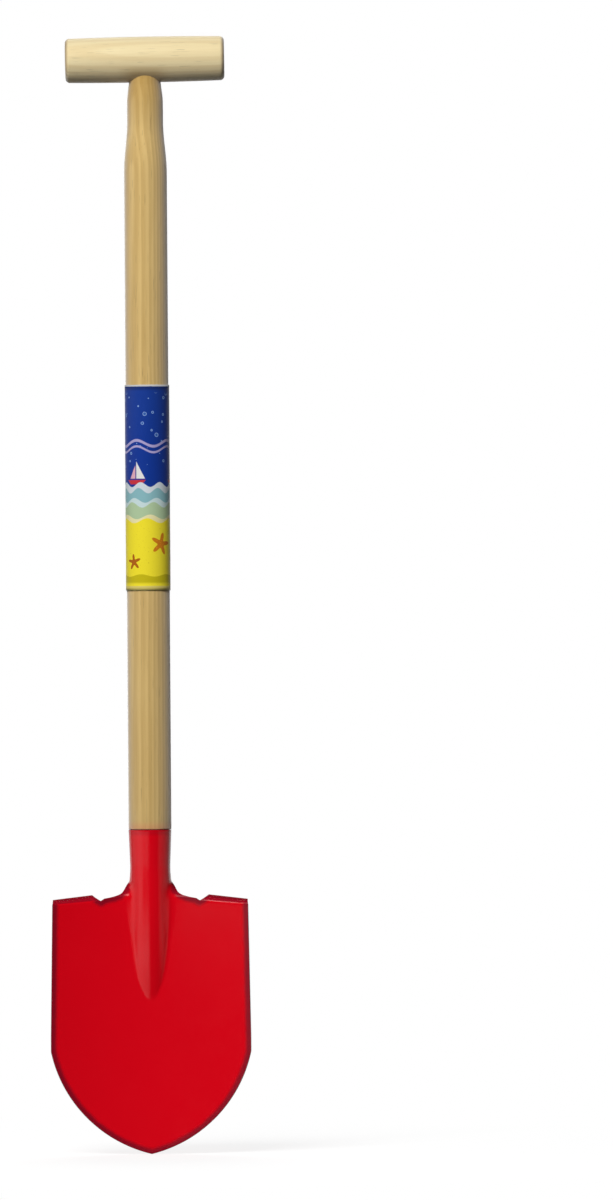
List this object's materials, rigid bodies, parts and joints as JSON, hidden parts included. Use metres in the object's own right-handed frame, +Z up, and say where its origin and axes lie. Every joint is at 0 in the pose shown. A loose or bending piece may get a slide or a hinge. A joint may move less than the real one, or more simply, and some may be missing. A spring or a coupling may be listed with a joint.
{
  "type": "sand shovel",
  "caption": "Child's pointed digging shovel: dished red steel blade with ridge, folded foot treads and rolled socket, on a turned wooden shaft with a cross grip.",
  "frame": {"origin": "where the shaft's axis meets the axis of the cross grip, which is the grip mount", "axes": "+Z up along the shaft from the blade to the grip, X along the cross grip, the blade's hollow face towards -Y"},
  "size_m": [0.1334, 0.0359, 0.7444],
  "materials": {
    "red_paint": "glossy enamel on pressed steel sheet",
    "shaft_wood": "turned hardwood with a satin clear coat",
    "grip_wood": "turned pale hardwood, sanded smooth",
    "label_print": "printed card sleeve with a satin varnish",
    "nail_steel": "bright steel wire nails"
  },
  "bodies": {
    "root": {"blade": "red_paint", "shaft": "shaft_wood", "grip": "grip_wood", "label": "label_print", "socket_nails": "nail_steel", "grip_nail": "nail_steel"}
  },
  "joints": []
}
